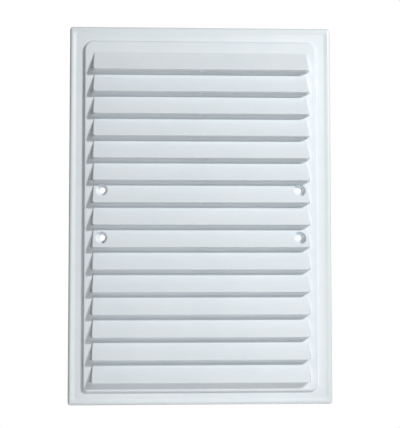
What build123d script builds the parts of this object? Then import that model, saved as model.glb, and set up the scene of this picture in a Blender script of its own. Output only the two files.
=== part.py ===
from build123d import *
from math import atan2, cos, degrees, radians, sin, tan
import os

# Louvred ventilation grille, injection moulded in one piece.
# It stands as it hangs on a wall: X to the right, Z up, the front facing -Y.
# The origin is the centre of the four screws, on the plane of the wall.
# Lengths are in millimetres and angles in degrees.

# Flange that lies on the wall, with a raised bead round its edge
WIDTH = 167.0
HEIGHT = 240.0
CORNER_RADIUS = 2.0
FLANGE_THICKNESS = 1.8
RIM_WIDTH = 4.2
RIM_RISE = 0.55
RIM_SLOPE_WIDTH = 2.0
RIM_EDGE_ROUND = 1.8
RIM_CREST_ROUND = 2.0
RIM_FOOT_ROUND = 2.0

# Raised panel, hollow behind, that carries the louvres
FLANGE_SIDE = 9.5
FLANGE_TOP = 9.5
FLANGE_BOTTOM = 8.5
PANEL_RISE = 2.7
PANEL_UPPER_RADIUS = 6.0
PANEL_LOWER_RADIUS = 3.5
PANEL_EDGE_ROUND = 1.2
PANEL_DRAFT = 4.0
WALL = 1.8

# Wedge louvres, closed at their ends and open below
LOUVRE_PITCH = 14.0
LOUVRE_DROP = 12.0
LOUVRE_RISE = 6.8
LOUVRE_SIDE_MARGIN = 6.3
LOUVRE_ROW_MARGIN = 5.0
LOUVRE_FIELD_SHIFT = -0.5
LOUVRE_CORNER_RADIUS = 1.0
LOUVRE_EDGE_BREAK = 0.3
CHEEK_WALL = 2.0
CHEEK_FLARE = 20.0
MOUTH_DRAFT = 3.0

# Upright rib behind the middle of the louvres
RIB_THICKNESS = 2.2
RIB_WALL_GAP = 1.0

# Screw pillars with a pocket for a countersunk head
SCREW_HOLE_DIAMETER = 4.0
SCREW_POCKET_DIAMETER = 7.6
SCREW_SINK_ANGLE = 90.0
SCREW_END_GAP = 5.2
SCREW_SPACING_UP = 30.0
PILLAR_WALL = 1.6

# Heights in front of the wall
rim_front = FLANGE_THICKNESS + RIM_RISE
panel_front = FLANGE_THICKNESS + PANEL_RISE
panel_back = panel_front - WALL
lip_front = panel_front + LOUVRE_RISE

# Panel outline where it meets the flange
panel_width = WIDTH - 2 * FLANGE_SIDE
panel_height = HEIGHT - FLANGE_TOP - FLANGE_BOTTOM
panel_middle = (FLANGE_BOTTOM - FLANGE_TOP) / 2

# Slope of a slat's face, and where the foot of its mouth lies below its crease
slope = degrees(atan2(LOUVRE_RISE, LOUVRE_DROP))
slat_half_width = panel_width / 2 - LOUVRE_SIDE_MARGIN
mouth_foot = LOUVRE_DROP + LOUVRE_RISE * tan(radians(MOUTH_DRAFT))

# Heights of the creases where the slats leave the panel
row_room = panel_height - 2 * LOUVRE_ROW_MARGIN - LOUVRE_DROP
row_count = int(row_room / LOUVRE_PITCH) + 1
field_height = (row_count - 1) * LOUVRE_PITCH + LOUVRE_DROP
first_crease = panel_middle + LOUVRE_FIELD_SHIFT + field_height / 2
creases = [first_crease - row * LOUVRE_PITCH for row in range(row_count)]

# Screw places, near the ends of the slats
screw_x = slat_half_width - SCREW_END_GAP
screw_z = SCREW_SPACING_UP / 2
screw_places = [(x, z) for x in (-screw_x, screw_x) for z in (-screw_z, screw_z)]


def plate(width, height, radius, level):
    """Rounded rectangle parallel to the wall, at a height in front of it."""
    return Plane.XZ.offset(level) * RectangleRounded(width, height, radius)


def flange():
    """Flat flange with a bead round its edge that slopes down to the flat."""
    slab = extrude(plate(WIDTH, HEIGHT, CORNER_RADIUS, 0), rim_front)
    foot_inset = 2 * RIM_WIDTH
    crest_inset = 2 * (RIM_WIDTH - RIM_SLOPE_WIDTH)
    foot = plate(WIDTH - foot_inset, HEIGHT - foot_inset, CORNER_RADIUS, FLANGE_THICKNESS)
    crest = plate(WIDTH - crest_inset, HEIGHT - crest_inset, CORNER_RADIUS, rim_front)
    slab -= loft([foot, crest], ruled=True)
    floor = slab.faces().filter_by(Axis.Y).sort_by(Axis.Y)[1]
    slab = fillet(floor.edges(), RIM_FOOT_ROUND)
    bead = slab.faces().filter_by(Axis.Y).sort_by(Axis.Y)[0]
    slab = fillet(bead.inner_wires()[0].edges(), RIM_CREST_ROUND)
    bead = slab.faces().filter_by(Axis.Y).sort_by(Axis.Y)[0]
    return fillet(bead.outer_wire().edges(), RIM_EDGE_ROUND)


def panel_plate(inset, level):
    """Outline of the panel drawn in all round by an inset, with tighter corners below."""
    outline = Rectangle(panel_width - 2 * inset, panel_height - 2 * inset)
    outline = fillet(outline.vertices().group_by(Axis.Y)[-1], PANEL_UPPER_RADIUS - inset)
    outline = fillet(outline.vertices().group_by(Axis.Y)[0], PANEL_LOWER_RADIUS - inset)
    return Plane.XZ.offset(level) * outline


def panel():
    """Raised panel with drafted sides and a rounded front edge."""
    block = extrude(panel_plate(0, FLANGE_THICKNESS), PANEL_RISE, taper=PANEL_DRAFT)
    front = block.faces().sort_by(Axis.Y)[0]
    block = fillet(front.edges(), PANEL_EDGE_ROUND)
    return Pos(0, 0, panel_middle) * block


def tray():
    """Hollow behind the panel, one wall thickness inside its sides."""
    inset = WALL / cos(radians(PANEL_DRAFT)) - FLANGE_THICKNESS * tan(radians(PANEL_DRAFT))
    hollow = extrude(panel_plate(inset, 0), panel_back, taper=PANEL_DRAFT)
    return Pos(0, 0, panel_middle) * hollow


def wedge(profile, half_width):
    """Prism of a louvre's cross-section, with ends that flare back from the slat's face."""
    reach = LOUVRE_RISE + panel_front
    prism = extrude(Plane.YZ * make_face(Polyline(*profile, close=True)), panel_width / 2, both=True)
    flare = tan(radians(CHEEK_FLARE))
    front_half = half_width - WALL * flare
    back_half = half_width + reach * flare
    ends = Polyline(
        (-front_half, WALL),
        (front_half, WALL),
        (back_half, -reach),
        (-back_half, -reach),
        close=True,
    )
    down_slope = (0, -sin(radians(slope)), -cos(radians(slope)))
    across = Plane(origin=(0, -panel_front, 0), x_dir=(1, 0, 0), z_dir=down_slope)
    return prism & extrude(across * make_face(ends), 2 * mouth_foot, both=True)


def louvre():
    """Outside of one louvre, with its crease at height 0 and its edges broken."""
    root = panel_front - WALL / 2
    root_foot = LOUVRE_DROP + (lip_front - root) * tan(radians(MOUTH_DRAFT))
    body = wedge(
        [
            (-panel_front, 0),
            (-lip_front, -LOUVRE_DROP),
            (-root, -root_foot),
            (-root, 0),
        ],
        slat_half_width,
    )
    mouth_ends = body.edges().group_by(Axis.Z)[1]
    body = fillet(mouth_ends, LOUVRE_CORNER_RADIUS)
    outward = Axis((0, 0, 0), (0, -cos(radians(slope)), sin(radians(slope))))
    slat = body.faces().sort_by(outward)[-1]
    free_edges = slat.edges().sort_by(Axis.Z)[:-1]
    return chamfer(free_edges, LOUVRE_EDGE_BREAK)


def louvre_hollow():
    """Air behind one slat, open below at the mouth and open to the tray."""
    top = WALL * tan(radians(slope / 2))
    lip_back = lip_front - WALL / cos(radians(slope))
    end_wall = CHEEK_WALL / cos(radians(CHEEK_FLARE))
    return wedge(
        [
            (0, -top),
            (-panel_back, -top),
            (-lip_back, -LOUVRE_DROP),
            (-lip_back, -mouth_foot),
            (0, -mouth_foot),
        ],
        slat_half_width - end_wall,
    )


def rib():
    """Upright web behind the middle of the slats, clear of the wall."""
    depth = lip_front - RIB_WALL_GAP
    web = Rectangle(RIB_THICKNESS, panel_height)
    return Pos(0, 0, panel_middle) * extrude(Plane.XZ.offset(RIB_WALL_GAP) * web, depth)


def pillar():
    """Round post from the wall to the slat, round a screw."""
    post = Circle(SCREW_POCKET_DIAMETER / 2 + PILLAR_WALL)
    return extrude(Plane.XZ * post, lip_front)


def screw_room():
    """Through hole, countersink level with the panel, and pocket open to the front."""
    hole = SCREW_HOLE_DIAMETER / 2
    pocket = SCREW_POCKET_DIAMETER / 2
    sink = (pocket - hole) / tan(radians(SCREW_SINK_ANGLE / 2))
    profile = Polyline(
        (0, 0),
        (hole, 0),
        (hole, sink - panel_front),
        (pocket, -panel_front),
        (pocket, -lip_front),
        (0, -lip_front),
        close=True,
    )
    return revolve(make_face(profile), Axis.Y)


def grille():
    """The whole moulding."""
    envelope = flange() + panel() + [Pos(0, 0, crease) * louvre() for crease in creases]
    shell = envelope - tray() - [Pos(0, 0, crease) * louvre_hollow() for crease in creases]
    stiffeners = rib() + [Pos(x, 0, z) * pillar() for x, z in screw_places]
    body = shell + (stiffeners & envelope)
    return body - [Pos(x, 0, z) * screw_room() for x, z in screw_places]


os.makedirs("parts", exist_ok=True)
export_step(grille(), "parts/louvre_grille.step")
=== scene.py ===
from math import radians

import bpy
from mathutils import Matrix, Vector


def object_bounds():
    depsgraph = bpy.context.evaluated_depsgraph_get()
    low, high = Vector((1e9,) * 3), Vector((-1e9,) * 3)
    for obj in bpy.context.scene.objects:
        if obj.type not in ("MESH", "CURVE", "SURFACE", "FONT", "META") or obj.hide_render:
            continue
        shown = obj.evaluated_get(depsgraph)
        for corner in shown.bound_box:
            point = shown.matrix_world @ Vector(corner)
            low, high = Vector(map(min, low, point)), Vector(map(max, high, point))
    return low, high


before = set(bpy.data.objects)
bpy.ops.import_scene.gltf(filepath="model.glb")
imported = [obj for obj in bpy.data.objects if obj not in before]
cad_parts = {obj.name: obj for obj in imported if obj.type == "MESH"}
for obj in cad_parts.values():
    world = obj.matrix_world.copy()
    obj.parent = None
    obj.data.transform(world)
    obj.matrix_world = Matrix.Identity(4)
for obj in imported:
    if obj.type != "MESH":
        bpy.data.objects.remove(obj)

cad_low, cad_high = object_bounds()

# The grille: flange, raised panel and louvres, one white polystyrene moulding.
# It comes from the tool with a fine satin grain and faint flow marks along the slats,
# and it is screwed to the wall through the four sunk holes.
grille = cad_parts["louvre_grille"]

PLASTIC_WHITE = (0.815, 0.87, 0.90, 1.0)
PLASTIC_SHADE = (0.785, 0.846, 0.88, 1.0)
PLASTIC_IOR = 1.5
LIGHT_SHARE = 0.15
LIGHT_SPREAD = (1.0, 1.0, 1.0)
LIGHT_DEPTH = 0.0008
MOTTLE_PER_METRE = 45.0
MOTTLE_DETAIL = 3.0
MOTTLE_LOW = 0.2
MOTTLE_HIGH = 0.6
FLOW_STRETCH = (12.0, 220.0, 220.0)
FLOW_SCALE = 1.0
FLOW_DETAIL = 4.0
FLOW_LOW = 0.3
FLOW_HIGH = 0.7
SATIN_LOW = 0.33
SATIN_HIGH = 0.45
GRAIN_PER_METRE = 2600.0
GRAIN_DETAIL = 2.0
GRAIN_STRENGTH = 0.15
GRAIN_DEPTH = 0.00003


def moulded_plastic():
    """Satin white plastic: mottled colour, streaked gloss and a fine grain."""
    plastic = bpy.data.materials.new("white_plastic_satin")
    plastic.use_nodes = True
    nodes = plastic.node_tree.nodes
    link = plastic.node_tree.links.new
    shader = nodes["Principled BSDF"]
    shader.inputs["IOR"].default_value = PLASTIC_IOR
    shader.inputs["Subsurface Weight"].default_value = LIGHT_SHARE
    shader.inputs["Subsurface Radius"].default_value = LIGHT_SPREAD
    shader.inputs["Subsurface Scale"].default_value = LIGHT_DEPTH
    place = nodes.new("ShaderNodeTexCoord")

    mottle = nodes.new("ShaderNodeTexNoise")
    mottle.inputs["Scale"].default_value = MOTTLE_PER_METRE
    mottle.inputs["Detail"].default_value = MOTTLE_DETAIL
    link(place.outputs["Object"], mottle.inputs["Vector"])
    tint = nodes.new("ShaderNodeValToRGB")
    shade_stop, white_stop = tint.color_ramp.elements
    shade_stop.color = PLASTIC_SHADE
    white_stop.color = PLASTIC_WHITE
    shade_stop.position = MOTTLE_LOW
    white_stop.position = MOTTLE_HIGH
    link(mottle.outputs["Fac"], tint.inputs["Fac"])
    link(tint.outputs["Color"], shader.inputs["Base Color"])

    along_slats = nodes.new("ShaderNodeMapping")
    along_slats.inputs["Scale"].default_value = FLOW_STRETCH
    link(place.outputs["Object"], along_slats.inputs["Vector"])
    flow = nodes.new("ShaderNodeTexNoise")
    flow.inputs["Scale"].default_value = FLOW_SCALE
    flow.inputs["Detail"].default_value = FLOW_DETAIL
    link(along_slats.outputs["Vector"], flow.inputs["Vector"])
    gloss = nodes.new("ShaderNodeMapRange")
    gloss.inputs["From Min"].default_value = FLOW_LOW
    gloss.inputs["From Max"].default_value = FLOW_HIGH
    gloss.inputs["To Min"].default_value = SATIN_LOW
    gloss.inputs["To Max"].default_value = SATIN_HIGH
    link(flow.outputs["Fac"], gloss.inputs["Value"])
    link(gloss.outputs["Result"], shader.inputs["Roughness"])

    grain = nodes.new("ShaderNodeTexNoise")
    grain.inputs["Scale"].default_value = GRAIN_PER_METRE
    grain.inputs["Detail"].default_value = GRAIN_DETAIL
    link(place.outputs["Object"], grain.inputs["Vector"])
    bump = nodes.new("ShaderNodeBump")
    bump.inputs["Strength"].default_value = GRAIN_STRENGTH
    bump.inputs["Distance"].default_value = GRAIN_DEPTH
    link(grain.outputs["Fac"], bump.inputs["Height"])
    link(bump.outputs["Normal"], shader.inputs["Normal"])
    return plastic


grille.material_slots[0].material = moulded_plastic()

# The sheet behind the louvres: painted shade and painted light, a grey that stands in for the
# shaded ground seen through the mouths and a glow that stands in for light coming through from
# behind; the sheet is no lamp.
# It lies in the hollow of the panel, shows only through the mouths of the louvres,
# is cut out round the four screw posts and lets the view from behind pass.
SHEET_WIDTH = 0.140
SHEET_HEIGHT = 0.214
SHEET_IN_HOLLOW = -0.0004
# Painted shade: the grey stands in for the shaded ground behind the mouths, and it also tints
# the painted glow.
SHEET_SHADE_AND_GLOW_GREY = (0.45, 0.46, 0.47, 1.0)
SHEET_ROUGHNESS = 0.9
SHEET_PAINTED_GLOW = 0.58
SCREW_PLACE = (0.0625, 0.0, 0.015)
POST_RADIUS = 0.0055


def shade_and_glow_film():
    """Sheet painted grey as shade and glowing as painted light in front, open at the screw posts
    and clear from behind.
    """
    shade_glow_material = bpy.data.materials.new("shade_and_glow_film")
    shade_glow_material.use_nodes = True
    nodes = shade_glow_material.node_tree.nodes
    link = shade_glow_material.node_tree.links.new
    shader = nodes["Principled BSDF"]
    # Painted shade: a grey surface where only shade lies behind the louvres.
    shader.inputs["Base Color"].default_value = SHEET_SHADE_AND_GLOW_GREY
    shader.inputs["Roughness"].default_value = SHEET_ROUGHNESS
    # Painted light: the glow stands in for light coming through from behind, though the sheet is
    # no lamp.
    shader.inputs["Emission Color"].default_value = SHEET_SHADE_AND_GLOW_GREY
    shader.inputs["Emission Strength"].default_value = SHEET_PAINTED_GLOW

    # The four posts lie alike in the four corners, so one corner is enough to find them
    place = nodes.new("ShaderNodeTexCoord")
    one_corner = nodes.new("ShaderNodeVectorMath")
    one_corner.operation = "ABSOLUTE"
    link(place.outputs["Object"], one_corner.inputs[0])
    from_screw = nodes.new("ShaderNodeVectorMath")
    from_screw.operation = "SUBTRACT"
    from_screw.inputs[1].default_value = SCREW_PLACE
    link(one_corner.outputs["Vector"], from_screw.inputs[0])
    reach = nodes.new("ShaderNodeVectorMath")
    reach.operation = "LENGTH"
    link(from_screw.outputs["Vector"], reach.inputs[0])
    at_post = nodes.new("ShaderNodeMath")
    at_post.operation = "LESS_THAN"
    at_post.inputs[1].default_value = POST_RADIUS
    link(reach.outputs["Value"], at_post.inputs[0])

    side = nodes.new("ShaderNodeNewGeometry")
    open_here = nodes.new("ShaderNodeMath")
    open_here.operation = "MAXIMUM"
    link(at_post.outputs["Value"], open_here.inputs[0])
    link(side.outputs["Backfacing"], open_here.inputs[1])
    clear = nodes.new("ShaderNodeBsdfTransparent")
    mix = nodes.new("ShaderNodeMixShader")
    link(open_here.outputs["Value"], mix.inputs["Fac"])
    link(shader.outputs["BSDF"], mix.inputs[1])
    link(clear.outputs["BSDF"], mix.inputs[2])
    link(mix.outputs["Shader"], nodes["Material Output"].inputs["Surface"])
    return shade_glow_material


bpy.ops.object.select_all(action="DESELECT")
bpy.ops.mesh.primitive_plane_add(
    size=1.0,
    rotation=(radians(90), 0, 0),
    location=(0, SHEET_IN_HOLLOW, 0),
)
sheet = bpy.context.object
sheet.name = "shade_and_glow_sheet"
sheet.scale = (SHEET_WIDTH, SHEET_HEIGHT, 1.0)
bpy.ops.object.transform_apply(location=True, rotation=True, scale=True)
# The sheet gets the painted shade and the painted glow.
sheet.data.materials.append(shade_and_glow_film())
sheet.visible_shadow = False

# The floor: a plain pale studio table, well below the grille that hangs in front of the camera.
# It lies out of the picture and only shows in views from above, from the side or from behind.
FLOOR_SIZE = 5.0
FLOOR_DROP = 1.1
FLOOR_COLOUR = (0.82, 0.83, 0.84, 1.0)
FLOOR_ROUGHNESS = 0.85

bpy.ops.mesh.primitive_plane_add(size=FLOOR_SIZE, location=(0, 0, cad_low.z - FLOOR_DROP))
floor = bpy.context.object
floor.name = "studio_floor"
paint = bpy.data.materials.new("floor_paint")
paint.use_nodes = True
paint_shader = paint.node_tree.nodes["Principled BSDF"]
paint_shader.inputs["Base Color"].default_value = FLOOR_COLOUR
paint_shader.inputs["Roughness"].default_value = FLOOR_ROUGHNESS
floor.data.materials.append(paint)

# The studio: a plain white surround where it is seen, straight or mirrored,
# and a low even light from all round.
BACKDROP_WHITE = (1.0, 1.0, 1.0, 1.0)
BACKDROP_LIGHT = 1.0
SURROUND_LIGHT = 0.01

world = bpy.data.worlds.new("studio")
bpy.context.scene.world = world
world.use_nodes = True
world_nodes = world.node_tree.nodes
world_link = world.node_tree.links.new
backdrop = world_nodes["Background"]
backdrop.inputs["Color"].default_value = BACKDROP_WHITE
ray = world_nodes.new("ShaderNodeLightPath")
seen_or_mirrored = world_nodes.new("ShaderNodeMath")
seen_or_mirrored.operation = "MAXIMUM"
world_link(ray.outputs["Is Camera Ray"], seen_or_mirrored.inputs[0])
world_link(ray.outputs["Is Glossy Ray"], seen_or_mirrored.inputs[1])
seen = world_nodes.new("ShaderNodeMath")
seen.operation = "MAXIMUM"
world_link(seen_or_mirrored.outputs["Value"], seen.inputs[0])
world_link(ray.outputs["Is Transmission Ray"], seen.inputs[1])
strength = world_nodes.new("ShaderNodeMapRange")
strength.inputs["To Min"].default_value = SURROUND_LIGHT
strength.inputs["To Max"].default_value = BACKDROP_LIGHT
world_link(seen.outputs["Value"], strength.inputs["Value"])
world_link(strength.outputs["Result"], backdrop.inputs["Strength"])

# The lamps: a small key lamp high on the right, which draws the crisp shadows under the lips
# and left of the cheeks, a soft lamp under the camera, weak lamps right and left,
# and one far below that lights the undersides.
KEY_PLACE = (0.48, -0.70, 0.39)
KEY_SIZE = 0.05
KEY_WATTS = 5.5
FRONT_PLACE = (0.03, -0.58, -0.17)
FRONT_SIZE = 0.25
FRONT_WATTS = 1.0
RIGHT_PLACE = (0.70, -0.70, 0.09)
RIGHT_SIZE = 0.5
RIGHT_WATTS = 0.8
LEFT_PLACE = (-0.86, -0.50, 0.09)
LEFT_SIZE = 0.5
LEFT_WATTS = 0.3
LOW_PLACE = (0.10, -0.01, -0.95)
LOW_SIZE = 0.2
LOW_WATTS = 2.4


def studio_lamp(name, place, size, watts):
    """Square soft lamp, aimed at the middle of the grille and out of the camera's sight."""
    lamp = bpy.data.lights.new(name, "AREA")
    lamp.size = size
    lamp.energy = watts
    holder = bpy.data.objects.new(name, lamp)
    holder.location = place
    holder.rotation_euler = (-Vector(place)).to_track_quat("-Z", "Y").to_euler()
    holder.visible_camera = False
    bpy.context.scene.collection.objects.link(holder)


studio_lamp("key_lamp", KEY_PLACE, KEY_SIZE, KEY_WATTS)
studio_lamp("front_lamp", FRONT_PLACE, FRONT_SIZE, FRONT_WATTS)
studio_lamp("right_lamp", RIGHT_PLACE, RIGHT_SIZE, RIGHT_WATTS)
studio_lamp("left_lamp", LEFT_PLACE, LEFT_SIZE, LEFT_WATTS)
studio_lamp("low_lamp", LOW_PLACE, LOW_SIZE, LOW_WATTS)

# The camera: almost square on to the grille, a little left of its middle and below it.
# The turn and the lift are in degrees, the sensor and the lens in millimetres.
CAMERA_PLACE = (-0.0201, -0.5346, -0.0244)
CAMERA_TURN = 2.11
CAMERA_LIFT = 2.64
CAMERA_SENSOR = 36.0
CAMERA_LENS = 70.64
CAMERA_NEAR = 0.01

camera = bpy.data.cameras.new("camera")
camera.sensor_fit = "VERTICAL"
camera.sensor_height = CAMERA_SENSOR
camera.lens = CAMERA_LENS
camera.clip_start = CAMERA_NEAR
eye = bpy.data.objects.new("camera", camera)
eye.location = CAMERA_PLACE
eye.rotation_euler = (radians(90 + CAMERA_LIFT), 0, radians(-CAMERA_TURN))
bpy.context.scene.collection.objects.link(eye)
bpy.context.scene.camera = eye
bpy.context.scene.view_settings.view_transform = "Standard"
